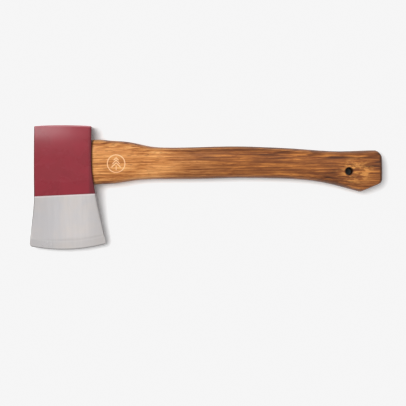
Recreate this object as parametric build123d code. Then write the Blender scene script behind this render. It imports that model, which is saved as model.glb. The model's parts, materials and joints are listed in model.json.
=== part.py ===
"""Carving hatchet: a forged head with a painted body and a bare ground bit, hung on a curved wooden handle.

The hatchet lies on its side. +X runs from the eye down the handle, +Y points at the poll, -Y at the
cutting edge and +Z up. The origin is under the centre of the eye, on the flat cheek that the head rests on.
All lengths are in millimetres.
"""

import os
from math import copysign, cos, hypot, pi, radians, sin, sqrt

from build123d import *

# --- head, seen from the side ---
HEAD_DEPTH = 57.5  # top face to lower face, which is how much handle the eye holds
POLL_REACH = 37.2  # eye centre to the middle of the poll
EDGE_REACH = 88.0  # eye centre to the middle of the cutting edge
POLL_ARC = 435.0  # radius of the slightly crowned poll
EDGE_ARC = 166.0  # radius of the cutting edge
EDGE_SHIFT = -1.0  # the edge's arc is centred this far towards the head's top face
POLL_CORNER = 1.6
TOE_CORNER = 3.2
HEEL_CORNER = 1.8
TOE_FLARE = (0.33, 0.125, 8.0)  # share of the edge reach where it starts, final slope, length of the bend
HEEL_FLARE = (0.0, 0.21, 17.0)

# --- head, seen along the handle ---
CHEEK_HALF = 12.8  # half the thickness over the cheeks, which are ground flat
# place as a share of the poll or edge reach, half thickness and side land as shares of the cheek's,
# then how far the cheek rolls over towards each side, and its crown
HEAD_STATIONS = (
    (1.21, 0.752, 0.620, 1.9, 0.25),
    (0.86, 0.868, 0.745, 1.9, 0.20),
    (0.56, 0.945, 0.830, 1.9, 0.15),
    (0.29, 0.990, 0.880, 1.9, 0.15),
    (0.06, 1.015, 0.900, 1.9, 0.15),
    (-0.11, 1.022, 0.900, 1.9, 0.15),
    (-0.22, 1.003, 0.870, 1.9, 0.15),
    (-0.31, 0.925, 0.780, 2.0, 0.20),
    (-0.40, 0.790, 0.620, 2.4, 0.30),
    (-0.54, 0.560, 0.355, 2.9, 0.50),
    (-0.72, 0.340, 0.165, 3.2, 0.60),
    (-0.89, 0.197, 0.076, 3.2, 0.60),
    (-1.06, 0.112, 0.027, 3.2, 0.45),
)
POLL_RIM = 1.8  # rounding round the poll
POLL_RIM_TURN = 62.0  # degrees of that rounding before it runs out through the cheek
EDGE_HALF = 0.15  # half thickness left at the honed edge
BEVEL_SLOPE = 0.232  # rise of the honed bevel on each side

# --- paint ---
PAINT = 0.15
PAINT_LINE_TOE = -34.4  # where the paint ends at the top face
PAINT_LINE_HEEL = -31.7  # where it ends at the lower face

# --- eye: half width on Y, half thickness on Z ---
EYE_TOP = (23.0, 9.2)
EYE_WAIST = (20.9, 7.9)
EYE_FOOT = (21.6, 8.3)
EYE_WAIST_AT = 0.63  # the narrowest place, as a share of the way from the top face to the lower face
EYE_SQUARENESS = 2.3  # 2 is an ellipse, more is squarer
EYE_MOUTH = 0.8  # chamfer round the eye at the top face

# --- wedges ---
WOOD_SHY = 0.3  # the wood stops this far short of the top face
KERF_DEPTH = 47.0  # how far the saw kerf runs into the handle
SAW_KERF = 1.2
WEDGE_DEPTH = 40.0
WEDGE_TOP = 6.4  # thickness of the wooden wedge at the top face
WEDGE_TIP = 1.6
CROSS_DEPTH = 22.0  # the steel cross wedges
CROSS_SPAN = 0.88  # how much of the eye's thickness at its waist they span, which keeps them off its wall
CROSS_TOP = 2.6
CROSS_TIP = 0.7
CROSS_SPACING = 20.0
CROSS_ANGLE = 62.0  # degrees away from the wooden wedge
CROSS_BARBS = 3
CROSS_BARB_RISE = 0.35
CROSS_BARB_RUN = 0.75  # length of a barb's long flank, as a share of the barbs' spacing
CROSS_SUNK = 0.4  # how far the steel wedges are driven below the wood

# --- handle ---
HANDLE_LENGTH = 291.7  # lower face of the head to the end of the butt
# place as a share of that length, upper edge, lower edge, half thickness, squareness
HANDLE_STATIONS = (
    (0.000, 22.5, -23.2, 10.4, 2.8),
    (0.056, 22.1, -21.8, 10.9, 2.8),
    (0.111, 21.1, -19.8, 11.0, 2.6),
    (0.152, 19.2, -18.0, 10.9, 2.5),
    (0.197, 16.3, -17.0, 10.6, 2.4),
    (0.249, 15.1, -16.8, 10.4, 2.35),
    (0.378, 15.6, -16.5, 10.3, 2.35),
    (0.509, 16.2, -15.5, 10.5, 2.35),
    (0.618, 15.2, -15.9, 10.4, 2.35),
    (0.722, 13.5, -17.2, 10.6, 2.4),
    (0.818, 11.5, -21.3, 11.3, 2.5),
    (0.875, 11.3, -25.5, 11.8, 2.6),
    (0.923, 11.8, -29.2, 12.1, 2.6),
    (1.035, 11.8, -37.5, 12.1, 2.6),
)
HEEL_CUT_FROM_END = 20.4  # the slanting cut under the butt starts this far from the end
HEEL_CUT_LEVEL = -29.2
HEEL_CUT_SLOPE = 0.43
BUTT_TOP = 12.6  # where the upper edge would run on to at the end of the butt
BUTT_TOP_ROUND = 9.0
BUTT_TOP_TURN = 66.0  # degrees of that rounding before it runs out through the upper edge
BUTT_LOW_ROUND = 6.0
BUTT_RIM_ROUND = 3.0
HANG_HOLE_FROM_END = 33.4
HANG_HOLE_LEVEL = -9.0
HANG_HOLE_R = 3.8
HANG_HOLE_SINK = 0.4  # chamfer round the hole

TOP = -HEAD_DEPTH / 2  # X of the head's top face
FOOT = HEAD_DEPTH / 2  # X of the head's lower face
WOOD_TOP = TOP + WOOD_SHY
BUTT = FOOT + HANDLE_LENGTH
MID = CHEEK_HALF + PAINT  # height of the hatchet's middle plane over the surface it lies on
FAR = HEAD_DEPTH  # far enough to pass everything in the head's thickness
SPARE = 1.0  # how far a cutter starts outside what it cuts
CROSS_WIDTH = 2 * CROSS_SPAN * EYE_WAIST[1]
OVERLAP = 4.0  # how far the tongue runs on inside the handle's shoulder
OVAL_POINTS = 24


def place(solid):
    """Lifts a solid modelled about the middle plane to where it lies on its side."""
    return Pos(0, 0, MID) * solid


def closed(edges):
    return Face(Wire(edges))


def outline_of(points):
    return make_face(Polyline(*points, close=True))


# ---------------------------------------------------------------- head


def flare(reach, shape):
    """How far a side of the head stands out at a distance below the eye centre."""
    share, slope, bend = shape
    past = max(reach - share * EDGE_REACH, 0.0)
    return slope * (hypot(past, bend) - bend)


def head_outline(grow=0.0):
    """The head's outline from the side, as a face in the middle plane."""
    poll = POLL_REACH + grow
    half = HEAD_DEPTH / 2 + grow
    corner = poll - (POLL_ARC - sqrt(POLL_ARC**2 - half**2))
    reaches = [0.23 * i * EDGE_REACH for i in range(6)]
    toe = [Vector(-half - flare(s, TOE_FLARE), -s) for s in reaches]
    heel = [Vector(half + flare(s, HEEL_FLARE), -s) for s in reaches]
    blank = closed([
        Edge.make_three_point_arc(Vector(-half, corner), Vector(0, poll), Vector(half, corner)),
        Edge.make_line(Vector(half, corner), heel[0]),
        Edge.make_spline(heel, tangents=[Vector(0, -1), heel[-1] - heel[-2]]),
        Edge.make_line(heel[-1], toe[-1]),
        Edge.make_spline(toe[::-1], tangents=[toe[-2] - toe[-1], Vector(0, 1)]),
        Edge.make_line(toe[0], Vector(-half, corner)),
    ])
    edge_disc = Pos(EDGE_SHIFT, EDGE_ARC - EDGE_REACH) * Circle(EDGE_ARC)
    outline = Sketch() + blank & edge_disc
    outline = fillet(outline.vertices().sort_by(Axis.Y)[-2:], POLL_CORNER)
    heel_corner, = [v for v in outline.vertices().sort_by(Axis.Y)[:2] if v.X > 0]
    outline = fillet(heel_corner, HEEL_CORNER)
    toe_corner = outline.vertices().filter_by(lambda v: v.X < 0).sort_by(Axis.Y)[0]
    return fillet(toe_corner, TOE_CORNER)


def head_section(station, grow=0.0):
    """One slice across the head: crowned cheeks that roll over into narrow side lands."""
    share, thick, land, roll, crown = station
    reach = share * (POLL_REACH if share > 0 else EDGE_REACH)
    side = 0.1 * SPARE  # the outline trims this much off each side
    low = TOP - flare(-reach, TOE_FLARE) - grow - side
    high = FOOT + flare(-reach, HEEL_FLARE) + grow + side
    middle = (low + high) / 2
    top = thick * CHEEK_HALF + grow
    land *= CHEEK_HALF
    shoulder = top - crown
    slope = 4 * crown / (high - low)
    left = low + roll + side
    right = high - roll - side

    def at(x, z):
        return Vector(x, reach, z)

    return Wire([
        Edge.make_three_point_arc(at(left, shoulder), at(middle, top), at(right, shoulder)),
        Edge.make_spline([at(right, shoulder), at(high, land)], tangents=[(1, 0, -slope), (0, 0, -1)]),
        Edge.make_line(at(high, land), at(high, -land)),
        Edge.make_spline([at(high, -land), at(right, -shoulder)], tangents=[(0, 0, -1), (-1, 0, -slope)]),
        Edge.make_three_point_arc(at(right, -shoulder), at(middle, -top), at(left, -shoulder)),
        Edge.make_spline([at(left, -shoulder), at(low, -land)], tangents=[(-1, 0, slope), (0, 0, 1)]),
        Edge.make_line(at(low, -land), at(low, land)),
        Edge.make_spline([at(low, land), at(left, shoulder)], tangents=[(0, 0, 1), (1, 0, slope)]),
    ])


def rounded_rim(rim, start, r, turn, run=12.0):
    """Half of a rounded edge at x = rim that starts level, turns part of the way and runs straight out."""

    def on_round(degrees):
        angle = radians(degrees)
        return Vector(rim - r * (1 - cos(angle)), start + r * sin(angle))

    leave = on_round(turn)
    out = leave + Vector(-sin(radians(turn)), cos(radians(turn))) * run
    return [Edge.make_three_point_arc(on_round(0), on_round(turn / 2), leave), Edge.make_line(leave, out)]


def poll_round(grow=0.0):
    """A slice of a wide disc with a rounded rim, following the poll's arc, that trims the poll's rim."""
    half = (HEAD_STATIONS[0][1] + HEAD_STATIONS[1][1]) / 2 * CHEEK_HALF + grow
    rim = POLL_ARC + grow
    upper = rounded_rim(rim, half - POLL_RIM, POLL_RIM + grow, POLL_RIM_TURN)
    lower = [edge.mirror(Plane.XZ) for edge in upper]
    front = Edge.make_line(lower[0] @ 0, upper[0] @ 0)
    out = upper[1] @ 1
    inner = rim - 2.2 * EDGE_REACH
    corners = [out, Vector(inner, out.Y), Vector(inner, -out.Y), lower[1] @ 1]
    sides = [Edge.make_line(a, b) for a, b in zip(corners, corners[1:])]
    span = 26  # degrees, wider than the head
    ring = revolve(Plane.XZ * closed(upper + lower + [front] + sides), Axis.Z, span)
    return Pos(0, POLL_REACH - POLL_ARC) * Rot(0, 0, 90 - span / 2) * ring


def head_envelope(grow=0.0):
    """The head's outer shape with no eye, or the same shape grown by a paint film."""
    blank = Solid.make_loft([head_section(s, grow) for s in HEAD_STATIONS])
    side_view = extrude(head_outline(grow), FAR, both=True)
    cheeks = Box(4 * FAR, 8 * FAR, 2 * (CHEEK_HALF + grow))
    return blank & side_view & cheeks & poll_round(grow)


def honed():
    """Two flat cones back to back: where they run out past the edge's arc is the cutting edge."""
    rise = EDGE_HALF + BEVEL_SLOPE * EDGE_ARC
    tip = EDGE_ARC + 0.9 * EDGE_HALF / BEVEL_SLOPE
    left = 0.1 * EDGE_HALF
    half = outline_of([(0, -rise), (tip, -left), (tip, left), (0, rise)])
    return Pos(EDGE_SHIFT, EDGE_ARC - EDGE_REACH) * revolve(Plane.XZ * half, Axis.Z)


def oval(x, upper, lower, half_thickness, squareness):
    """A closed, nearly elliptical slice across the handle or the eye."""
    middle = (upper + lower) / 2
    half = (upper - lower) / 2
    points = []
    for i in range(OVAL_POINTS):
        turn = 2 * pi * i / OVAL_POINTS
        y = copysign(abs(cos(turn)) ** (2 / squareness), cos(turn))
        z = copysign(abs(sin(turn)) ** (2 / squareness), sin(turn))
        points.append(Vector(x, middle + half * y, half_thickness * z))
    return Wire([Edge.make_spline(points, periodic=True)])


def eye_plug():
    """The eye as a solid, waisted inside the head and longer than it at both ends."""
    waist = TOP + EYE_WAIST_AT * HEAD_DEPTH

    def size(x, column):
        end, wide = (TOP, EYE_TOP[column]) if x < waist else (FOOT, EYE_FOOT[column])
        return EYE_WAIST[column] + (wide - EYE_WAIST[column]) * ((x - waist) / (end - waist)) ** 2

    places = [TOP - OVERLAP, TOP, (TOP + waist) / 2, waist, FOOT, FOOT + OVERLAP]
    return Solid.make_loft([oval(x, size(x, 0), -size(x, 0), size(x, 1), EYE_SQUARENESS) for x in places])


def eye_mouth():
    """The chamfer where the wood enters at the top face."""

    def ring(x):
        grow = TOP + EYE_MOUTH - x
        return oval(x, EYE_TOP[0] + grow, -EYE_TOP[0] - grow, EYE_TOP[1] + grow, EYE_SQUARENESS)

    return Solid.make_loft([ring(TOP - PAINT - SPARE), ring(TOP + EYE_MOUTH + SPARE / 2)], ruled=True)


def above_paint_line():
    """Everything on the poll's side of the line across the bit where the paint ends."""
    slant = (PAINT_LINE_HEEL - PAINT_LINE_TOE) / HEAD_DEPTH
    run = 2 * FAR
    return extrude(outline_of([
        (TOP - run, PAINT_LINE_TOE - slant * run),
        (FOOT + run, PAINT_LINE_HEEL + slant * run),
        (FOOT + run, run),
        (TOP - run, run),
    ]), FAR, both=True)


bare = head_envelope()
coated = head_envelope(PAINT)
eye = eye_plug()
mouth = eye_mouth()
head_forging = (bare & honed()) - eye - mouth
head_paint = (coated & above_paint_line()) - bare - eye - mouth

# ---------------------------------------------------------------- handle


def butt_outline():
    """Everything kept at the butt in the side view: a rounded top corner, a flat end and a slanting heel."""
    upper = rounded_rim(BUTT, BUTT_TOP - BUTT_TOP_ROUND, BUTT_TOP_ROUND, BUTT_TOP_TURN)
    out = upper[1] @ 1
    low = HEEL_CUT_LEVEL + HEEL_CUT_SLOPE * HEEL_CUT_FROM_END
    corners = [
        upper[0] @ 0,
        Vector(BUTT, low),
        Vector(BUTT - FAR, low - HEEL_CUT_SLOPE * FAR),
        Vector(0, low - HEEL_CUT_SLOPE * FAR),
        Vector(0, FAR),
        Vector(out.X, FAR),
        out,
    ]
    lines = [Edge.make_line(a, b) for a, b in zip(corners, corners[1:])]
    outline = Sketch() + closed(upper + lines)
    return fillet(outline.vertices().sort_by_distance((BUTT, low, 0))[0], BUTT_LOW_ROUND)


def shaft():
    """The handle below the head, with the rims of the cuts at the butt rounded over."""
    blank = Solid.make_loft([
        oval(FOOT + share * HANDLE_LENGTH, upper, lower, half, squareness)
        for share, upper, lower, half, squareness in HANDLE_STATIONS
    ])
    cut = blank & extrude(butt_outline(), FAR, both=True)
    at_butt = [e for e in cut.edges() if e.bounding_box().min.X > BUTT - 1.6 * HEEL_CUT_FROM_END]
    creases = [e for e in at_butt if e.geom_type == GeomType.LINE]  # smooth lines across the cuts
    return fillet([e for e in at_butt if e not in creases], BUTT_RIM_ROUND)


def hang_hole(half_thickness):
    """The hole's cutter, with a small sink at each face."""
    wide = HANG_HOLE_R + HANG_HOLE_SINK + SPARE
    inner = half_thickness - HANG_HOLE_SINK
    outer = half_thickness + SPARE
    profile = outline_of([
        (0, -outer),
        (wide, -outer),
        (HANG_HOLE_R, -inner),
        (HANG_HOLE_R, inner),
        (wide, outer),
        (0, outer),
    ])
    return Pos(BUTT - HANG_HOLE_FROM_END, HANG_HOLE_LEVEL) * revolve(Plane.XZ * profile, Axis.Z)


def across(profile, wide):
    """A profile drawn in X and thickness, pulled out to a width along Y."""
    return Rot(90, 0, 0) * extrude(profile, wide / 2, both=True)


def taper(length, thick, thin):
    """A plain wedge that starts outside the wood, as wide as the eye and more, thick end first."""
    slope = (thick - thin) / length
    outside = thick / 2 + slope * SPARE / 2
    return across(outline_of([
        (WOOD_TOP - SPARE, -outside),
        (WOOD_TOP + length, -thin / 2),
        (WOOD_TOP + length, thin / 2),
        (WOOD_TOP - SPARE, outside),
    ]), 2 * FAR)


def cross_wedge(side, carried_up=0.0):
    """A barbed steel wedge driven across the wooden one. Carried up, it is the slot that it was driven down."""
    start = WOOD_TOP + CROSS_SUNK
    pitch = CROSS_DEPTH / (CROSS_BARBS + 1.5)

    def half(along):
        return (CROSS_TOP + (CROSS_TIP - CROSS_TOP) * along / CROSS_DEPTH) / 2

    above = [(-carried_up, half(-carried_up))]
    for i in range(CROSS_BARBS):
        ridge = (i + 1) * pitch
        above.append((ridge, half(ridge)))
        above.append((ridge + CROSS_BARB_RISE, half(ridge) + CROSS_BARB_RISE))
        above.append((ridge + CROSS_BARB_RUN * pitch, half(ridge + CROSS_BARB_RUN * pitch)))
    above.append((CROSS_DEPTH, CROSS_TIP / 2))
    profile = outline_of([(start + x, z) for x, z in above] + [(start + x, -z) for x, z in above[::-1]])
    return Pos(0, side * CROSS_SPACING / 2) * Rot(side * CROSS_ANGLE, 0, 0) * across(profile, CROSS_WIDTH)


steel_wedges = [cross_wedge(side) for side in (1, -1)]
slots = [cross_wedge(side, CROSS_SUNK + SPARE) for side in (1, -1)]
inside = Pos((WOOD_TOP + FOOT + OVERLAP) / 2, 0, 0) * Box(FOOT + OVERLAP - WOOD_TOP, 2 * FAR, 2 * FAR)
wedge_space = taper(WEDGE_DEPTH, WEDGE_TOP, WEDGE_TIP)
kerf_wedge = (wedge_space & eye & inside) - slots[0] - slots[1]
kerf = taper(KERF_DEPTH, SAW_KERF, SAW_KERF)
tongue = eye & inside
handle = (shaft() - coated + tongue) - wedge_space - kerf - slots[0] - slots[1]
hole_core = Pos(BUTT - HANG_HOLE_FROM_END, HANG_HOLE_LEVEL) * Cylinder(HANG_HOLE_R, 2 * FAR)
handle -= hang_hole((handle & hole_core).bounding_box().max.Z)

NODES = {
    "head_forging": head_forging,
    "head_paint": head_paint,
    "handle": handle,
    "kerf_wedge": kerf_wedge,
    "cross_wedge_1": steel_wedges[0],
    "cross_wedge_2": steel_wedges[1],
}

os.makedirs("parts", exist_ok=True)
for name, solid in NODES.items():
    export_step(place(solid), f"parts/{name}.step")
    print(name, "volume", round(solid.volume), "mm3, solids", len(solid.solids()), "valid", solid.is_valid)
print("middle plane at", round(MID, 3), "butt at", round(BUTT, 3))
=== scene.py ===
# %% [markdown]
# # A carving hatchet
# The hatchet lies on its side on a pale table, seen from straight above. The forged head, its coat of
# enamel, the handle and the wedges are solids that were designed elsewhere, and they arrive here at their
# real size and place. What is left for Blender is the looks: the finishes, a small printed mark, the light
# and the camera. All lengths are in metres. +X runs from the head down the handle, +Y towards the poll and
# +Z up.

# %% Load the hatchet
import json
from math import radians

import bmesh
import bpy
from mathutils import Matrix, Vector
from mathutils.bvhtree import BVHTree


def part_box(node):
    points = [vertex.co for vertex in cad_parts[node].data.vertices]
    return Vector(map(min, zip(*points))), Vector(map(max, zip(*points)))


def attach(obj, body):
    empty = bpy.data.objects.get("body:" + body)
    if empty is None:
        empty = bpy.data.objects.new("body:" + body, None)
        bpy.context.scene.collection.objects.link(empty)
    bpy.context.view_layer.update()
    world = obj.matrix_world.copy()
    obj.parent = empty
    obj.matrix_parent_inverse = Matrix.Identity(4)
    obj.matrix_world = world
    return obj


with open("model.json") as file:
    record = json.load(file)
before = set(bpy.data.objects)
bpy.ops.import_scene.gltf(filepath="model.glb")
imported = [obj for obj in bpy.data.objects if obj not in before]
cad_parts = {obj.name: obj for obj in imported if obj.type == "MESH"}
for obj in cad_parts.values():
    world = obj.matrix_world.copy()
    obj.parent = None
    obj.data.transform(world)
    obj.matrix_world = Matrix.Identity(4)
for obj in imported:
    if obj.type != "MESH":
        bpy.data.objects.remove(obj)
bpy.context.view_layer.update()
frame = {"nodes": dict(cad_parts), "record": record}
MM = 0.001
for name, obj in sorted(frame["nodes"].items()):
    print(name, len(obj.data.polygons), "triangles")

# %% [markdown]
# ## Places to measure from
# Every place below comes from the solids' own boxes or from the hatchet's mounts, so nothing needs fitting.
# The eye is centred on X = 0, and the wood in it stops a little short of the head's top face, which tells
# where the lower face is on the other side.

# %% Landmarks
mounts = {mount["name"]: mount for mount in frame["record"]["mounts"]}
hang_hole = Vector(mounts["hang_hole"]["pos_m"])
HOLE_RADIUS = mounts["hang_hole"]["dims"]["r_mm"] * MM
WOOD_SHY = 0.3 * MM
handle_low, handle_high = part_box("handle")
head_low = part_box("head_forging")[0]
paint_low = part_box("head_paint")[0]
lower_face = WOOD_SHY - handle_low.x
butt = handle_high.x
print("lower face at X", round(lower_face / MM, 2), "mm, butt at X", round(butt / MM, 2), "mm")
print("middle plane at Z", round(hang_hole.z / MM, 2), "mm")

# %% [markdown]
# ## Writing materials as code
# A material is a tree of nodes. Clicking one together is quick, but hard to repeat or to read afterwards.
# A few short helpers make the code about as short as the clicking. The first three add a node, do a sum
# and mix two colours. A value that is itself the output of a node is linked, and anything else is set.

# %% Adding nodes
def connect(tree, value, socket):
    if isinstance(value, bpy.types.NodeSocket):
        tree.links.new(value, socket)
    else:
        socket.default_value = value


def add(tree, kind, label=None, **sockets):
    """Adds a node. A socket goes by its name, with _ for a space, or by the letter i and its number."""
    node = tree.nodes.new("ShaderNode" + kind)
    node.label = label or kind
    for key, value in sockets.items():
        name = key.replace("_", " ")
        connect(tree, value, node.inputs[name] if name in node.inputs else node.inputs[int(key[1:])])
    return node


def reckon(tree, operation, first, second=0.0, label=None, clamp=False):
    node = add(tree, "Math", label, i0=first, i1=second)
    node.operation = operation
    node.use_clamp = clamp
    return node.outputs[0]


def blend_colour(tree, share, first, second, label=None):
    node = tree.nodes.new("ShaderNodeMix")
    node.data_type = "RGBA"
    node.label = label or "blend"
    for socket, value in ((node.inputs[0], share), (node.inputs[6], first), (node.inputs[7], second)):
        connect(tree, value, socket)
    return node.outputs[2]


print("helpers ready: add, reckon, blend_colour")

# %% [markdown]
# The next helpers work on places. Every pattern on the hatchet is worked out from where a point lies on it,
# in metres, so a noise has a real size, and stretching the place stretches the noise. A range is always
# spread smoothly, because a straight ramp shows as a crease.

# %% Ranges, places and noise
def spread(tree, value, low, high, to_low=0.0, to_high=1.0, label=None):
    """Turns a range of a value into another range, and holds it at the ends."""
    node = add(tree, "MapRange", label, i0=value, i1=low, i2=high, i3=to_low, i4=to_high)
    node.interpolation_type = "SMOOTHSTEP"
    return node.outputs[0]


def vector_sum(tree, operation, first, second=(0.0, 0.0, 0.0), label=None):
    node = add(tree, "VectorMath", label, i0=first, i1=second)
    node.operation = operation
    return node.outputs


def stretched(tree, place, scale):
    return vector_sum(tree, "MULTIPLY", place, scale, "stretched")[0]


def offset_from(tree, place, centre, scale=(1, 1, 1)):
    """The way from a centre to a place, with each axis scaled."""
    return stretched(tree, vector_sum(tree, "SUBTRACT", place, tuple(centre), "offset")[0], scale)


def length_of(tree, vector, label=None):
    return vector_sum(tree, "LENGTH", vector, label=label)["Value"]


def parts_of(tree, vector):
    return add(tree, "SeparateXYZ", "X, Y and Z", i0=vector).outputs


def noise(tree, place, scale, detail=2.0, roughness=0.5, label=None, distortion=0.0):
    """A noise whose scale may differ on each axis, in waves per metre."""
    node = add(tree, "TexNoise", label, Vector=stretched(tree, place, scale), Scale=1.0, Detail=detail,
               Roughness=roughness, Distortion=distortion)
    return node.outputs[0]


print("helpers ready: spread, offset_from, length_of, parts_of, noise")

# %% [markdown]
# An effect that several finishes share becomes a node group: it is built once, and each material gives it
# its own values. A group here takes a place and a few numbers, and gives back masks.

# %% Materials and groups
def start_material(name):
    material = bpy.data.materials.new(name)
    material.use_nodes = True
    tree = material.node_tree
    shader = next(node for node in tree.nodes if node.type == "BSDF_PRINCIPLED")
    place = add(tree, "TexCoord", "place on the hatchet").outputs["Object"]
    return material, tree, shader, place


def start_group(name, inputs, outputs):
    """A node group with a Place, float inputs that have starting values, and float outputs."""
    tree = bpy.data.node_groups.new(name, "ShaderNodeTree")
    tree.interface.new_socket("Place", in_out="INPUT", socket_type="NodeSocketVector")
    for socket, value in inputs.items():
        made = tree.interface.new_socket(socket, in_out="INPUT", socket_type="NodeSocketFloat")
        made.default_value = value
    for socket in outputs:
        tree.interface.new_socket(socket, in_out="OUTPUT", socket_type="NodeSocketFloat")
    return tree, tree.nodes.new("NodeGroupInput").outputs, tree.nodes.new("NodeGroupOutput").inputs


def use_group(tree, group, place, **values):
    node = tree.nodes.new("ShaderNodeGroup")
    node.node_tree = group
    node.label = group.name
    tree.links.new(place, node.inputs["Place"])
    for key, value in values.items():
        node.inputs[key.replace("_", " ")].default_value = value
    return node.outputs


print("helpers ready: start_material, start_group, use_group")

# %% [markdown]
# The last helpers are about the surface: which way it faces, how a height becomes a bump, and how a solid
# gets its finish. Colours are written as they are picked on a screen, from 0 to 255, and turned into the
# amounts of light that a shader works with.

# %% Surfaces and colours
def surface_normal(tree):
    return parts_of(tree, add(tree, "TexCoord", "facing").outputs["Normal"])


def turned_aside(tree, low, high):
    """0 where the surface faces straight up or down, rising to 1 on the sides."""
    upright = reckon(tree, "ABSOLUTE", surface_normal(tree)["Z"])
    return reckon(tree, "SUBTRACT", 1.0, spread(tree, upright, low, high), label="turned aside")


def bump(tree, height, distance, strength=1.0):
    return add(tree, "Bump", Strength=strength, Distance=distance, Height=height).outputs[0]


def srgb(red, green, blue):
    light = [c / 255 / 12.92 if c <= 10.3 else ((c / 255 + 0.055) / 1.055) ** 2.4 for c in (red, green, blue)]
    return (*light, 1.0)


def ramp(tree, value, stops, label=None):
    """A colour ramp from (position, colour) stops."""
    node = add(tree, "ValToRGB", label, Fac=value)
    elements = node.color_ramp.elements
    while len(elements) < len(stops):
        elements.new(0.5)
    for element, (position, colour) in zip(elements, stops):
        element.position = position
        element.color = colour
    return node.outputs["Color"]


def dress(node_name, material):
    """Gives a solid one material all over."""
    slots = frame["nodes"][node_name].data.materials
    slots.clear()
    slots.append(material)
    print(node_name, "wears", material.name)


print("a screen's middle grey is a light of", round(srgb(128, 128, 128)[0], 3))

# %% [markdown]
# ## Wood grain as a block of timber
# The handle was cut from a plank, so its grain runs right through it: long streaks on the sides, arches
# where the surface cuts across the rings, and rings on the ends. A picture wrapped round the handle could
# not do that. So the grain is worked out in space, from rings round a heart that lies below the handle and
# is not quite parallel to it. First comes a slow sway, which keeps the lines from being dead straight.

# %% Swaying grain
def swaying(tree, place, waviness):
    """Moves a place aside by a slow noise, by half of the waviness at most along each axis."""
    slow = stretched(tree, place, (11, 22, 22))
    wave = add(tree, "TexNoise", "slow sway", Vector=slow, Scale=1.0, Detail=2.0)
    centred = vector_sum(tree, "SUBTRACT", wave.outputs["Color"], (0.5, 0.5, 0.5), "centred sway")[0]
    sway = add(tree, "VectorMath", "sway", i0=centred)
    sway.operation = "SCALE"
    tree.links.new(waviness, sway.inputs["Scale"])
    return vector_sum(tree, "ADD", place, sway.outputs[0], "swayed place")[0]


def heart_distance(tree, place, heart_y, heart_z):
    leaning = add(tree, "Mapping", "leaning heart", Vector=place, Rotation=(0.0, radians(0.7), radians(-0.5)))
    leaning.vector_type = "POINT"
    parts = parts_of(tree, leaning.outputs[0])
    off_y = reckon(tree, "SUBTRACT", parts["Y"], heart_y)
    off_z = reckon(tree, "SUBTRACT", parts["Z"], heart_z)
    squares = [reckon(tree, "MULTIPLY", off, off) for off in (off_y, off_z)]
    return reckon(tree, "SQRT", reckon(tree, "ADD", *squares), label="distance from the heart")


print("the grain's heart leans by less than a degree")

# %% [markdown]
# A year's growth starts with open, pale wood full of pores and ends in a dense dark line. Dividing the
# distance from the heart by the width of a year, and keeping what is left over, tells how old the year is
# at each point. The rings, the slow streaks, the fine fibres, the pores and the broad figure each leave
# the group as a mask, so that the handle, the wedge and the printed mark can all use them.

# %% Grain group
def build_grain():
    tree, given, result = start_group(
        "grain",
        {"Ring spacing": 1.75 * MM, "Heart Y": -46 * MM, "Heart Z": -40 * MM, "Waviness": 2.6 * MM},
        ["Ring", "Streak", "Fibre", "Pores", "Figure"],
    )
    swayed = swaying(tree, given["Place"], given["Waviness"])
    radius = heart_distance(tree, swayed, given["Heart Y"], given["Heart Z"])
    uneven = noise(tree, swayed, (5, 150, 150), 3.0, 0.6, "uneven rings")
    count = reckon(tree, "DIVIDE", radius, given["Ring spacing"])
    year = reckon(tree, "FRACT", reckon(tree, "ADD", count, reckon(tree, "MULTIPLY", uneven, 3.0)),
                  label="age in the year")
    dense = reckon(tree, "MULTIPLY", spread(tree, year, 0.30, 0.88), spread(tree, year, 0.90, 1.0, 1.0, 0.0))
    strength = noise(tree, given["Place"], (14, 60, 60), 2.0, 0.5, "strong and weak years")
    dashes = noise(tree, swayed, (150, 900, 900), 2.0, 0.55, "pore dashes")
    open_wood = spread(tree, year, 0.0, 0.5, 1.0, 0.35)
    masks = {
        "Ring": reckon(tree, "MULTIPLY", dense, spread(tree, strength, 0.3, 0.7, 0.35, 1.0)),
        "Streak": noise(tree, swayed, (10, 560, 560), 5.0, 0.75, "streaks"),
        "Fibre": noise(tree, swayed, (42, 1050, 1050), 4.0, 0.72, "fibres"),
        "Pores": reckon(tree, "MULTIPLY", spread(tree, dashes, 0.54, 0.64), open_wood),
        "Figure": noise(tree, swayed, (20, 85, 85), 3.0, 0.6, "figure", 0.4),
    }
    for socket, value in masks.items():
        tree.links.new(value, result[socket])
    return tree


grain = build_grain()
print("grain group has", len(grain.nodes), "nodes")

# %% [markdown]
# ## Where the handle is painted darker
# Painted shade darkens the handle where shade falls: beside the head, round the butt's rim, in the mouth
# of the hole and along the rounded borders. A distance from a landmark is turned into a mask for the first
# three, and the way the surface faces gives the last. The strongest mask wins.

# %% Painted shade on the handle
MOUTH_WIDTH = 1.3 * MM


def painted_shade_on_handle(tree, place):
    ragged = noise(tree, place, (90, 260, 260), 3.0, 0.6, "ragged")
    shift = reckon(tree, "MULTIPLY", reckon(tree, "SUBTRACT", ragged, 0.5), 3.0 * MM)
    along = reckon(tree, "ADD", parts_of(tree, place)["X"], shift)
    mouth = length_of(tree, offset_from(tree, place, hang_hole, (1, 1, 0)), "distance from the hole")
    # every mask here is painted shade: beside the head, at the butt's end, in the hole's mouth and on the
    # sides that turn from the light
    masks = [
        spread(tree, along, lower_face + 2.6 * MM, lower_face, 0.0, 0.75, "beside the head"),
        spread(tree, along, butt - 4.2 * MM, butt - 1.0 * MM, 0.0, 0.9, "butt's rim"),
        spread(tree, along, butt - 12 * MM, butt - 3 * MM, 0.0, 0.22, "near the butt's rim"),
        spread(tree, mouth, HOLE_RADIUS + MOUTH_WIDTH, HOLE_RADIUS - 0.1 * MM, 0.0, 0.9, "hole's mouth"),
        reckon(tree, "MULTIPLY", turned_aside(tree, 0.25, 0.85), 0.55, "rounded borders"),
    ]
    darkest = masks[0]
    for mask in masks[1:]:
        darkest = reckon(tree, "MAXIMUM", darkest, mask, clamp=True)
    return darkest


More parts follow.
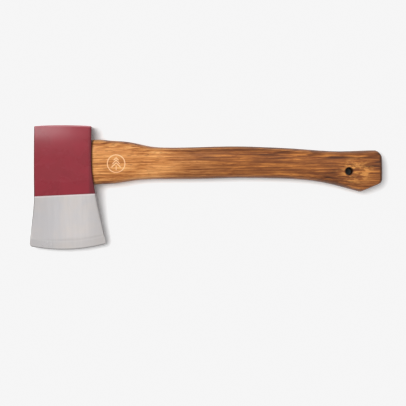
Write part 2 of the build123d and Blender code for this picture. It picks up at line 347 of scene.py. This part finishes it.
print("the hole's dark mouth is", round((HOLE_RADIUS + MOUTH_WIDTH) / MM, 1), "mm in radius")

# %% [markdown]
# Round the hole the butt was shaped across the grain, and the fresh wood stayed paler. That patch has no
# clean border, so a distance says roughly where it is, and a short noise breaks it up.

# %% Paler wood round the hole
FOOT_MIDDLE = hang_hole + Vector((7 * MM, 0.0, 0.0))


def shaped_across(tree, place):
    away = length_of(tree, offset_from(tree, place, FOOT_MIDDLE, (0.7, 1, 0.3)), "distance from the foot")
    near = spread(tree, away, 17 * MM, 5 * MM, 0.0, 0.8)
    broken = noise(tree, place, (110, 300, 200), 3.0, 0.6, "broken up")
    return reckon(tree, "MULTIPLY", near, spread(tree, broken, 0.44, 0.62))


print("the paler patch is centred", tuple(round(c / MM, 1) for c in FOOT_MIDDLE), "mm")

# %% [markdown]
# ## The handle's finish
# The wood is golden where it leaves the head and turns a deeper reddish brown along the grip, with dark
# pores and thin streaks. One ramp could not hold both, so there are two, driven by the same tone, and the
# second takes over along X at an uneven pace. A thin clear varnish wets the surface without filling the
# pores, so the grain can still be felt: it is the coat, and the pores stay in the bump.

# %% Handle colours
GOLDEN = [
    (0.22, srgb(118, 63, 29)),
    (0.38, srgb(181, 113, 58)),
    (0.50, srgb(211, 143, 82)),
    (0.70, srgb(246, 184, 116)),
]
DEEP = [
    (0.22, srgb(60, 31, 15)),
    (0.36, srgb(110, 62, 30)),
    (0.50, srgb(143, 85, 42)),
    (0.70, srgb(214, 138, 68)),
]
DEEPENS_FROM = 85 * MM
DEEPENS_TO = 165 * MM


def grain_tone(tree, masks):
    """One number for light and dark: the streaks, less the rings, with some fibre and figure."""
    tone = reckon(tree, "SUBTRACT", masks["Streak"], reckon(tree, "MULTIPLY", masks["Ring"], 0.20))
    for mask, weight in (("Fibre", 0.50), ("Figure", 0.60)):
        part = reckon(tree, "MULTIPLY", reckon(tree, "SUBTRACT", masks[mask], 0.5), weight)
        tone = reckon(tree, "ADD", tone, part)
    return tone


def handle_colour(tree, place, masks):
    tone = grain_tone(tree, masks)
    drift = reckon(tree, "SUBTRACT", noise(tree, place, (16, 60, 60), 3.0, 0.6, "uneven change"), 0.5)
    along = reckon(tree, "ADD", parts_of(tree, place)["X"], reckon(tree, "MULTIPLY", drift, 50 * MM))
    golden = ramp(tree, tone, GOLDEN, "golden end")
    deep = ramp(tree, tone, DEEP, "deep end")
    deepened = spread(tree, along, DEEPENS_FROM, DEEPENS_TO)
    colour = blend_colour(tree, deepened, golden, deep, "along the handle")
    pores = reckon(tree, "MULTIPLY", masks["Pores"], 0.62)
    colour = blend_colour(tree, pores, colour, srgb(104, 50, 32), "dark pores")
    fresh = blend_colour(tree, masks["Pores"], srgb(228, 158, 84), srgb(120, 68, 36), "fresh wood")
    return blend_colour(tree, shaped_across(tree, place), colour, fresh, "paler round the hole")


print("the handle deepens from X", DEEPENS_FROM / MM, "to", DEEPENS_TO / MM, "mm")

# %% [markdown]
# The painted shade lies over everything else. The varnish is smoothest where it could lie flat, so the pores
# and the shaded places are rougher than the wood between them. The fibres stand up in the bump, and the
# pores are cut into it.

# %% Handle wood
def build_handle_wood():
    material, tree, shader, place = start_material("handle_wood")
    masks = use_group(tree, grain, place)
    handle_shade = painted_shade_on_handle(tree, place)
    # painted shade: the wood is darkened to a deep brown where the shade masks are strong
    colour = blend_colour(tree, handle_shade, handle_colour(tree, place, masks), srgb(70, 40, 26), "painted shade on the wood")
    tree.links.new(colour, shader.inputs["Base Color"])
    rough = spread(tree, masks["Fibre"], 0.3, 0.7, 0.38, 0.52)
    rough = reckon(tree, "ADD", rough, reckon(tree, "MULTIPLY", masks["Pores"], 0.2))
    rough = reckon(tree, "ADD", rough, reckon(tree, "MULTIPLY", handle_shade, 0.15))
    tree.links.new(rough, shader.inputs["Roughness"])
    height = reckon(tree, "SUBTRACT", reckon(tree, "MULTIPLY", masks["Fibre"], 0.35), masks["Pores"])
    tree.links.new(bump(tree, height, 0.06 * MM, 0.8), shader.inputs["Normal"])
    shader.inputs["Specular IOR Level"].default_value = 0.25
    shader.inputs["Coat Weight"].default_value = 0.2
    shader.inputs["Coat Roughness"].default_value = 0.25
    return material


dress("handle", build_handle_wood())

# %% [markdown]
# ## The printed mark
# A small pale mark sits on the handle just below the head. It is a plain fir in a ring, thin as a transfer.
# A picture could be painted on the wood, but lines this fine come out sharper as real ribbons. The ring is
# the strip between two circles. One half of the fir is drawn with straight bars, cut along its middle and
# mirrored, which gives each pair of branches a clean point. No two lines meet, so nothing overlaps.

# %% Fir in a ring
MARK_CENTRE = Vector((butt - 266.9 * MM, -1.4 * MM, 0.0))
MARK_RADIUS = 8.8 * MM
LINE_WIDTH = 0.80 * MM
BRANCHES = ((0.68, 0.27, 0.30), (0.40, 0.40, 0.42), (0.10, 0.54, 0.54))  # top, half width and fall, in radii
TRUNK = (-0.74, -0.26)


def draw_bar(bm, start, end):
    """A flat bar of eight squares from one place to another."""
    along = end - start
    turn = Matrix.Rotation(along.xy.angle_signed(Vector((1, 0))), 4, "Z")
    shape = Matrix.Diagonal((along.length, LINE_WIDTH, 1.0, 1.0))
    place = Matrix.Translation((start + end) / 2) @ turn @ shape
    bmesh.ops.create_grid(bm, x_segments=8, y_segments=1, size=0.5, matrix=place)


def draw_fir(bm):
    for top, wide, fall in BRANCHES:
        point = Vector((0.0, top, 0.0)) * MARK_RADIUS
        tip = Vector((wide, top - fall, 0.0)) * MARK_RADIUS
        draw_bar(bm, point + (point - tip).normalized() * LINE_WIDTH, tip)
    draw_bar(bm, *(Vector((0, level, 0)) * MARK_RADIUS for level in TRUNK))
    everything = bm.verts[:] + bm.edges[:] + bm.faces[:]
    bmesh.ops.bisect_plane(bm, geom=everything, plane_co=(0, 0, 0), plane_no=(1, 0, 0), clear_inner=True)
    everything = bm.verts[:] + bm.edges[:] + bm.faces[:]
    bmesh.ops.mirror(bm, geom=everything, matrix=Matrix.Identity(4), merge_dist=0.01 * MM, axis="X")


def draw_ring(bm):
    edges = []
    for radius in (MARK_RADIUS - LINE_WIDTH / 2, MARK_RADIUS + LINE_WIDTH / 2):
        circle = bmesh.ops.create_circle(bm, cap_ends=False, segments=72, radius=radius)
        edges += dict.fromkeys(edge for vert in circle["verts"] for edge in vert.link_edges)
    bmesh.ops.bridge_loops(bm, edges=edges)


drawing = bmesh.new()
draw_fir(drawing)
draw_ring(drawing)
print("the mark's drawing has", len(drawing.faces), "flat faces")

# %% [markdown]
# The drawing is flat, and the wood is rounded. So the drawing is extruded to give it an upper and a lower
# skin, and every point is then dropped onto the wood from above: the upper skin stops a hair above it, and
# the lower one just below. A Shrinkwrap modifier could do the same, but a ray cast says exactly where each
# point lands.

# %% Mark on the wood
PRINT_UP = 0.03 * MM
PRINT_DOWN = 0.20 * MM
DROP_FROM = 1.0


def put_in_order(bm):
    """An extrude makes its sides in another order each time, so all pieces are ordered by their corners."""
    bm.verts.index_update()
    for sequence in (bm.edges, bm.faces):
        order = sorted(sequence, key=lambda piece: sorted(vert.index for vert in piece.verts))
        rank = {piece: number for number, piece in enumerate(order)}
        sequence.sort(key=rank.get)


def lay_on_wood(bm, name):
    wood = frame["nodes"]["handle"]
    surface = BVHTree.FromPolygons([wood.matrix_world @ vert.co for vert in wood.data.vertices],
                                   [tuple(face.vertices) for face in wood.data.polygons])
    grown = bmesh.ops.extrude_face_region(bm, geom=bm.faces[:])["geom"]
    upper = {piece for piece in grown if isinstance(piece, bmesh.types.BMVert)}
    put_in_order(bm)
    for vert in bm.verts:
        above = Vector((vert.co.x + MARK_CENTRE.x, vert.co.y + MARK_CENTRE.y, DROP_FROM))
        landing = surface.ray_cast(above, Vector((0, 0, -1)))[0]
        vert.co = landing + Vector((0, 0, PRINT_UP if vert in upper else -PRINT_DOWN))
    bmesh.ops.recalc_face_normals(bm, faces=bm.faces)
    print(name, "closed:", all(edge.is_manifold for edge in bm.edges),
          "volume:", round(bm.calc_volume() / MM ** 3, 2), "mm3")
    mesh = bpy.data.meshes.new(name)
    bm.to_mesh(mesh)
    bm.free()
    piece = bpy.data.objects.new(name, mesh)
    bpy.context.scene.collection.objects.link(piece)
    return piece


mark = lay_on_wood(drawing, "handle_mark")
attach(mark, "root")

# %% [markdown]
# The print is a pale peach paint. It has sunk into the open pores and worn off the proud streaks, so it
# reads the same grain as the wood under it and turns darker there.

# %% Pale print
def build_print():
    material, tree, shader, place = start_material("pale_print")
    masks = use_group(tree, grain, place)
    proud = spread(tree, masks["Streak"], 0.30, 0.50, 0.35, 0.0)
    sunk = reckon(tree, "MULTIPLY", masks["Pores"], 0.5)
    worn = reckon(tree, "ADD", sunk, proud, "worn by the grain", clamp=True)
    colour = blend_colour(tree, worn, srgb(255, 206, 158), srgb(222, 152, 98), "pale print")
    tree.links.new(colour, shader.inputs["Base Color"])
    tree.links.new(spread(tree, masks["Fibre"], 0.3, 0.7, 0.42, 0.55), shader.inputs["Roughness"])
    tree.links.new(bump(tree, masks["Fibre"], 0.02 * MM), shader.inputs["Normal"])
    return material


mark.data.materials.append(build_print())
print("handle_mark wears", mark.data.materials[0].name)

# %% [markdown]
# ## The wedge's wood
# The wedge is a paler, plainer timber, left bare, and its grain runs the same way as the handle's. The
# grain group makes it too: only the width of its years and the place of its heart are different.

# %% Wedge wood
def build_wedge_wood():
    material, tree, shader, place = start_material("wedge_wood")
    masks = use_group(tree, grain, place, Ring_spacing=1.4 * MM, Heart_Z=60 * MM)
    streaks = reckon(tree, "MULTIPLY", masks["Streak"], 0.6)
    tone = reckon(tree, "ADD", streaks, reckon(tree, "MULTIPLY", masks["Fibre"], 0.4))
    tone = reckon(tree, "SUBTRACT", tone, reckon(tree, "MULTIPLY", masks["Ring"], 0.12))
    pale = ramp(tree, tone, [(0.30, srgb(166, 122, 76)), (0.70, srgb(222, 186, 138))], "pale timber")
    tree.links.new(pale, shader.inputs["Base Color"])
    tree.links.new(bump(tree, masks["Fibre"], 0.05 * MM), shader.inputs["Normal"])
    shader.inputs["Roughness"].default_value = 0.62
    return material


dress("kerf_wedge", build_wedge_wood())

# %% [markdown]
# ## Marks of grinding, and the film of handling
# The bare steel was ground on a belt. A belt leaves fine parallel scratches, and every reflection smears
# across them. Two kinds are needed: straight ones down the bit, and ones that fan out over the honed bevel.
# One group makes both from noise stretched a hundredfold along the scratches. It also gives broader
# scratches, and the smudges of oil and fingers.

# %% Scratch group
def build_scratches():
    tree, given, result = start_group(
        "scratches",
        {"Fineness": 1.0, "Length": 14.0},
        ["Scratch", "Broad", "Smudge"],
    )
    size = add(tree, "CombineXYZ", "stretch", i0=reckon(tree, "MULTIPLY", given["Fineness"], 2600.0),
               i1=given["Length"], i2=reckon(tree, "MULTIPLY", given["Fineness"], 900.0)).outputs[0]
    masks = {
        "Scratch": noise(tree, given["Place"], size, 3.0, 0.65, "fine scratches"),
        "Broad": noise(tree, given["Place"], (420, 9, 200), 3.0, 0.6, "broad scratches"),
        "Smudge": noise(tree, given["Place"], (34, 30, 30), 4.0, 0.62, "smudges", 0.4),
    }
    for socket, value in masks.items():
        tree.links.new(value, result[socket])
    return tree


scratches = build_scratches()
print("scratch group has", len(scratches.nodes), "nodes")

# %% [markdown]
# ## The line where the enamel ends
# The head was masked with tape, dipped and then ground, so the enamel ends in a straight line across the
# bit. The coat is a little thicker and darker at the line, and the steel just below it has a painted
# highlight.
# Both finishes need to know how far they are from the line, so a group works it out once. The line climbs
# slightly towards the heel.

# %% Paint line group
PAINT_CLIMB = 2.7 * MM


def build_paint_line():
    tree, given, result = start_group("paint_line", {}, ["Above"])
    parts = parts_of(tree, given["Place"])
    climb = reckon(tree, "MULTIPLY", parts["X"], PAINT_CLIMB / (2 * lower_face))
    line = reckon(tree, "ADD", climb, paint_low.y + PAINT_CLIMB / 2)
    tree.links.new(reckon(tree, "SUBTRACT", parts["Y"], line), result["Above"])
    return tree


paint_line = build_paint_line()
print("the enamel ends at Y", round(paint_low.y / MM, 1), "mm on the toe side")

# %% [markdown]
# ## The bare steel bit
# Below the paint the bit is satin ground steel: nearly white where it mirrors the sky, a little uneven from
# the belt, with faint grey-brown clouds of oil. Painted reflection makes it darker towards the toe and the
# heel and brightest in the middle, and it is a shade warmer towards the edge. Each of these is one blend over
# the last, from broad to fine.

# %% Steel colour
EDGE_ARC = 166.0 * MM
BEVEL_WIDTH = 8.2 * MM
arc_centre = Vector((-1.0 * MM, head_low.y + EDGE_ARC, 0.0))
edge_level = head_low.y - arc_centre.y


def ground_colour(tree, marks, parts):
    colour = blend_colour(tree, spread(tree, marks["Smudge"], 0.35, 0.7), srgb(213, 211, 213),
                          srgb(222, 215, 211), "oil clouds")
    # painted reflection: the bit is darker towards the toe and the heel, so its middle reads brightest
    toe_reflection_falloff = spread(tree, parts["X"], 14 * MM, -38 * MM, 0.0, 0.50, "towards the toe")
    heel_reflection_falloff = spread(tree, parts["X"], 18 * MM, 42 * MM, 0.0, 0.60, "towards the heel")
    painted_reflection_falloff = reckon(tree, "ADD", toe_reflection_falloff, heel_reflection_falloff)
    colour = blend_colour(tree, painted_reflection_falloff, colour, srgb(186, 182, 182), "painted reflection falloff")
    low = spread(tree, parts["Y"], edge_level + 44 * MM, edge_level, 0.0, 0.22)
    colour = blend_colour(tree, low, colour, srgb(176, 168, 164), "warmer towards the edge")
    broad = spread(tree, marks["Broad"], 0.3, 0.7, 0.0, 0.18)
    return blend_colour(tree, broad, colour, srgb(188, 184, 184), "broad scratches")


print("the edge is an arc of", EDGE_ARC / MM, "mm radius, and its bevel is", BEVEL_WIDTH / MM, "mm wide")

# %% [markdown]
# The honed bevel along the edge is finer ground. It is found by its distance from the centre of the edge's
# arc, and so are a painted highlight along its upper line and painted shade on the sharp edge itself, where
# it turns away from the light.

# %% Steel edges
def edge_colour(tree, colour, reach, honed, above):
    bevel_top = EDGE_ARC - BEVEL_WIDTH
    finer = reckon(tree, "MULTIPLY", honed, 0.10)
    colour = blend_colour(tree, finer, colour, srgb(228, 226, 225), "honed bevel")
    # painted highlight: a pale line along the bevel's upper line, where the slope changes
    bevel_line_highlight = reckon(tree, "ABSOLUTE", reckon(tree, "SUBTRACT", reach, bevel_top))
    colour = blend_colour(tree, spread(tree, bevel_line_highlight, 1.4 * MM, 0.2 * MM, 0.0, 0.10), colour,
                          srgb(240, 238, 236), "painted highlight above the bevel")
    # painted shade: the sharp edge is darker, as it turns away from the light
    keen = spread(tree, reach, EDGE_ARC - 1.3 * MM, EDGE_ARC - 0.5 * MM, 0.0, 0.8)
    colour = blend_colour(tree, keen, colour, srgb(128, 126, 125), "painted shade on the keen edge")
    # painted highlight: a thin pale line on the steel just below the paint line
    return blend_colour(tree, spread(tree, above, -2.0 * MM, -0.5 * MM, 0.0, 0.55), colour,
                        srgb(244, 228, 229), "painted highlight below the paint line")


print("the bevel starts", round((EDGE_ARC - BEVEL_WIDTH) / MM, 1), "mm from the arc's centre")

# %% [markdown]
# The scratches on the bevel fan out from the arc's centre, so their place is given as an angle and a
# distance instead of X and Y. The scratches are in the roughness as well as in the bump, because that is
# what breaks up a reflection.

# %% Ground steel
def build_ground_steel():
    material, tree, shader, place = start_material("ground_steel")
    marks = use_group(tree, scratches, place)
    flat = offset_from(tree, place, arc_centre, (1, 1, 0))
    reach = length_of(tree, flat, "distance from the arc's centre")
    parts = parts_of(tree, flat)
    honed = spread(tree, reach, EDGE_ARC - BEVEL_WIDTH - 1.2 * MM, EDGE_ARC - BEVEL_WIDTH)
    turn = reckon(tree, "ARCTAN2", parts["X"], reckon(tree, "MULTIPLY", parts["Y"], -1.0))
    fan = add(tree, "CombineXYZ", "fan", i0=reckon(tree, "MULTIPLY", turn, EDGE_ARC), i1=reach)
    fan_marks = use_group(tree, scratches, fan.outputs[0], Fineness=0.8, Length=30.0)
    line = add(tree, "Mix", "which scratches", i0=honed, i2=marks["Scratch"],
               i3=fan_marks["Scratch"]).outputs[0]
    above = use_group(tree, paint_line, place)["Above"]
    colour = edge_colour(tree, ground_colour(tree, marks, parts), reach, honed, above)
    side = turned_aside(tree, 0.55, 0.955)
    # painted shade: faces that turn away from straight up are darker; they are also rougher
    side_shade = reckon(tree, "MULTIPLY", side, 0.8)
    colour = blend_colour(tree, side_shade, colour, srgb(128, 125, 124), "painted shade on the sides")
    tree.links.new(colour, shader.inputs["Base Color"])
    rough = reckon(tree, "SUBTRACT", spread(tree, marks["Smudge"], 0.3, 0.7, 0.30, 0.40),
                   reckon(tree, "MULTIPLY", honed, 0.03))
    rough = reckon(tree, "ADD", rough, reckon(tree, "MULTIPLY", reckon(tree, "SUBTRACT", line, 0.5), 0.12))
    rough = reckon(tree, "ADD", rough, reckon(tree, "MULTIPLY", side, 0.12))
    tree.links.new(rough, shader.inputs["Roughness"])
    tree.links.new(bump(tree, line, 0.012 * MM, 0.7), shader.inputs["Normal"])
    shader.inputs["Metallic"].default_value = 1.0
    return material


dress("head_forging", build_ground_steel())

# %% [markdown]
# ## The steel cross wedges
# Pressed from strip and driven with a hammer, they are dull and dark, with bruised ends. The scratch group
# serves again, with coarser and much shorter scratches.

# %% Wedge steel
def build_wedge_steel():
    material, tree, shader, place = start_material("wedge_steel")
    marks = use_group(tree, scratches, place, Fineness=0.4, Length=300.0)
    colour = blend_colour(tree, spread(tree, marks["Smudge"], 0.3, 0.7), srgb(122, 118, 114),
                          srgb(164, 158, 152), "mill scale")
    tree.links.new(colour, shader.inputs["Base Color"])
    tree.links.new(spread(tree, marks["Scratch"], 0.3, 0.7, 0.40, 0.60), shader.inputs["Roughness"])
    tree.links.new(bump(tree, marks["Smudge"], 0.08 * MM), shader.inputs["Normal"])
    shader.inputs["Metallic"].default_value = 1.0
    return material


wedge_steel = build_wedge_steel()
for side in (1, 2):
    dress(f"cross_wedge_{side}", wedge_steel)

# %% [markdown]
# ## The enamel
# The head's body was dipped in dark red enamel. Painted shade darkens it on the toe and heel sides and along
# the lower face, and the coat is thicker, and so darker, against the tape. A painted highlight makes the
# poll's rim pale. Each of those places is a mask again: from the way the surface faces, or from a distance
# to a landmark.

# %% Enamel colour
LOWER_FACE_SHADE_WIDTH = 4 * MM


def shade_and_thick_coat(tree, place, facing):
    # painted shade on the toe and heel sides and by the lower face; only against the tape is the coat really
    # thicker
    side = spread(tree, reckon(tree, "ABSOLUTE", facing["X"]), 0.10, 0.60, 0.0, 0.95, "painted shade on the toe and heel sides")
    along = parts_of(tree, place)["X"]
    lower_face_shade = spread(tree, along, lower_face - LOWER_FACE_SHADE_WIDTH, lower_face, 0.0, 0.6, "lower_face_shade")
    above = use_group(tree, paint_line, place)["Above"]
    at_tape = spread(tree, above, 1.5 * MM, 0.3 * MM, 0.0, 0.3, "against the tape")
    return reckon(tree, "MAXIMUM", side, reckon(tree, "MAXIMUM", lower_face_shade, at_tape), "painted shade and thick coat")


def enamel_colour(tree, place, cloud):
    colour = blend_colour(tree, spread(tree, cloud, 0.3, 0.7), srgb(130, 21, 37), srgb(140, 26, 43), "coat")
    speck = noise(tree, place, (900, 900, 900), 3.0, 0.7, "specks")
    colour = blend_colour(tree, spread(tree, speck, 0.66, 0.74, 0.0, 0.5), colour, srgb(96, 14, 26), "specks")
    facing = surface_normal(tree)
    colour = blend_colour(tree, shade_and_thick_coat(tree, place, facing), colour, srgb(74, 8, 18), "painted shade and thick coat")
    # painted highlight: the rim that faces the poll and upward is pale, where it catches the light
    upright = spread(tree, reckon(tree, "ABSOLUTE", facing["Z"]), 0.2, 0.6)
    rim = spread(tree, reckon(tree, "MULTIPLY", facing["Y"], upright), 0.12, 0.5, 0.0, 0.65)
    return blend_colour(tree, rim, colour, srgb(206, 140, 146), "painted highlight on the poll's rim")


print("painted shade darkens the coat over the last", LOWER_FACE_SHADE_WIDTH / MM, "mm before the lower face")

# %% [markdown]
# Enamel draws over the forging's slow dents and dries with a faint orange peel, so its bump has two sizes.
# Over the colour lies a glossy coat, and it mirrors the soft box behind the poll.

# %% Red enamel
def build_enamel():
    material, tree, shader, place = start_material("red_enamel")
    cloud = noise(tree, place, (30, 38, 30), 4.0, 0.6, "uneven coat", 0.3)
    peel = noise(tree, place, (620, 620, 620), 2.0, 0.5, "orange peel")
    dents = noise(tree, place, (46, 46, 46), 2.0, 0.5, "slow dents of the forging")
    tree.links.new(enamel_colour(tree, place, cloud), shader.inputs["Base Color"])
    tree.links.new(spread(tree, cloud, 0.3, 0.7, 0.24, 0.32), shader.inputs["Roughness"])
    height = reckon(tree, "ADD", reckon(tree, "MULTIPLY", dents, 2.0), reckon(tree, "MULTIPLY", peel, 0.12))
    tree.links.new(bump(tree, height, 0.03 * MM), shader.inputs["Normal"])
    shader.inputs["Specular IOR Level"].default_value = 0.15
    shader.inputs["Coat Weight"].default_value = 0.7
    shader.inputs["Coat Roughness"].default_value = 0.11
    return material


dress("head_paint", build_enamel())

# %% [markdown]
# ## The table
# A pale sheet of paper fills the view. It glows a little, which keeps the shadows pale. A hole through dark
# wood looks black on a table, because its walls let in so little light, so under the hang hole the paper is
# painted dark as a shadow and doesn't glow.

# %% Table
TABLE_HALF = 6.0
SHADED_TO = 6 * MM
LIT_FROM = 9 * MM


def build_paper():
    material, tree, shader, place = start_material("table_paper")
    tooth = noise(tree, place, (500, 500, 500), 2.0, 0.5, "paper tooth")
    tree.links.new(bump(tree, tooth, 0.02 * MM, 0.2), shader.inputs["Normal"])
    off = offset_from(tree, place, (hang_hole.x, hang_hole.y, 0.0))
    away = length_of(tree, off, "distance from the hole")
    # painted shadow: the paper is dark and doesn't glow under the hang hole
    lit = spread(tree, away, SHADED_TO, LIT_FROM)
    glow = blend_colour(tree, lit, (0.0, 0.0, 0.0, 1.0), (1.0, 1.0, 1.0, 1.0), "glow")
    paper = blend_colour(tree, lit, (0.10, 0.10, 0.10, 1.0), (0.95, 0.95, 0.95, 1.0), "paper")
    tree.links.new(glow, shader.inputs["Emission Color"])
    tree.links.new(paper, shader.inputs["Base Color"])
    shader.inputs["Emission Strength"].default_value = 0.10
    shader.inputs["Roughness"].default_value = 0.9
    shader.inputs["Specular IOR Level"].default_value = 0.1
    return material


def build_table():
    mesh = bpy.data.meshes.new("table")
    bm = bmesh.new()
    bmesh.ops.create_grid(bm, x_segments=1, y_segments=1, size=TABLE_HALF)
    bm.to_mesh(mesh)
    bm.free()
    mesh.materials.append(build_paper())
    table = bpy.data.objects.new("table", mesh)
    bpy.context.scene.collection.objects.link(table)
    print("table is", 2 * TABLE_HALF, "m wide")


build_table()

# %% [markdown]
# ## Light
# The sky gives an even light, and a wide sun, like a big window to the upper left, gives the shadows their
# direction. What glossy things mirror is chosen apart from what lights the room, like studio cards hung
# where only the metal sees them: a dome that is darker towards the walls, and a long soft box behind the
# poll. The world's shader asks whether a ray is a glossy one and answers with one or the other.

# %% Light
SKY = 0.22
SOFT_BOX = 4.6
WINDOW = 2.75
WINDOW_ANGLE = 32
WINDOW_FROM = Vector((-0.28, 0.12, 1.0))


def build_sky():
    world = bpy.data.worlds.new("studio")
    bpy.context.scene.world = world
    world.use_nodes = True
    tree = world.node_tree
    sky = tree.nodes["Background"]
    sky.inputs["Color"].default_value = (1.0, 1.0, 1.0, 1.0)
    sky.inputs["Strength"].default_value = SKY
    towards = parts_of(tree, add(tree, "TexCoord", "direction").outputs["Generated"])
    dome = spread(tree, towards["Z"], 0.0, 0.85, 0.18, 0.90, "darker towards the walls")
    near, far = spread(tree, towards["Y"], 0.14, 0.26), spread(tree, towards["Y"], 0.85, 0.6)
    end = spread(tree, towards["X"], -0.076, -0.094)
    box = reckon(tree, "MULTIPLY", reckon(tree, "MULTIPLY", near, far), end, "soft box behind the poll")
    seen = add(tree, "Background", "what the steel mirrors", Color=(1.0, 1.0, 1.0, 1.0),
               Strength=reckon(tree, "ADD", dome, reckon(tree, "MULTIPLY", box, SOFT_BOX)))
    glossy = add(tree, "LightPath").outputs["Is Glossy Ray"]
    pick = add(tree, "MixShader", "sky or mirror", i0=glossy, i1=sky.outputs[0], i2=seen.outputs[0])
    tree.links.new(pick.outputs[0], tree.nodes["World Output"].inputs["Surface"])


def build_window():
    sun = bpy.data.lights.new("window", "SUN")
    sun.energy = WINDOW
    sun.angle = radians(WINDOW_ANGLE)
    lamp = bpy.data.objects.new("window", sun)
    lamp.visible_glossy = False
    lamp.rotation_mode = "QUATERNION"
    lamp.rotation_quaternion = WINDOW_FROM.to_track_quat("Z", "Y")
    bpy.context.scene.collection.objects.link(lamp)


build_sky()
build_window()
print("sky", SKY, "window", WINDOW, "over", WINDOW_ANGLE, "degrees")

# %% [markdown]
# ## Camera
# The camera looks straight down at the middle plane of the hatchet from a metre and a half, as on a copy
# stand. From so far away the thick head hardly hides what is beside it. A camera that is not turned looks
# down already, so only its place and its lens are set.

# %% Camera
VIEW_WIDTH = 410 * MM
VIEW_DISTANCE = 1.5
SENSOR_WIDTH = 36.0
view_centre = Vector((140.65 * MM, -40.9 * MM, hang_hole.z))


def build_camera():
    lens = bpy.data.cameras.new("camera")
    lens.sensor_width = SENSOR_WIDTH
    lens.lens = SENSOR_WIDTH * VIEW_DISTANCE / VIEW_WIDTH
    camera = bpy.data.objects.new("camera", lens)
    camera.location = view_centre + Vector((0, 0, VIEW_DISTANCE))
    bpy.context.scene.collection.objects.link(camera)
    bpy.context.scene.camera = camera
    print("lens", round(lens.lens, 1), "mm")


build_camera()

# %% [markdown]
# ## Film
# A printed page has no pure white: paper stays just under it. A curve over the picture does that. It leaves
# everything darker than the paper alone, and holds the lit table at one even white.

# %% Film
PAPER_WHITE = 0.913


def build_film():
    view = bpy.context.scene.view_settings
    view.view_transform = "Standard"
    view.use_curve_mapping = True
    curve = view.curve_mapping.curves[3]
    curve.points[0].location = (0.0, 0.0)
    curve.points[1].location = (1.0, PAPER_WHITE)
    curve.points.new(PAPER_WHITE - 0.05, PAPER_WHITE - 0.05)
    curve.points.new(PAPER_WHITE + 0.01, PAPER_WHITE - 0.004)
    for point in curve.points:
        point.handle_type = "VECTOR"
    view.curve_mapping.update()


build_film()
print("paper is held at", PAPER_WHITE)
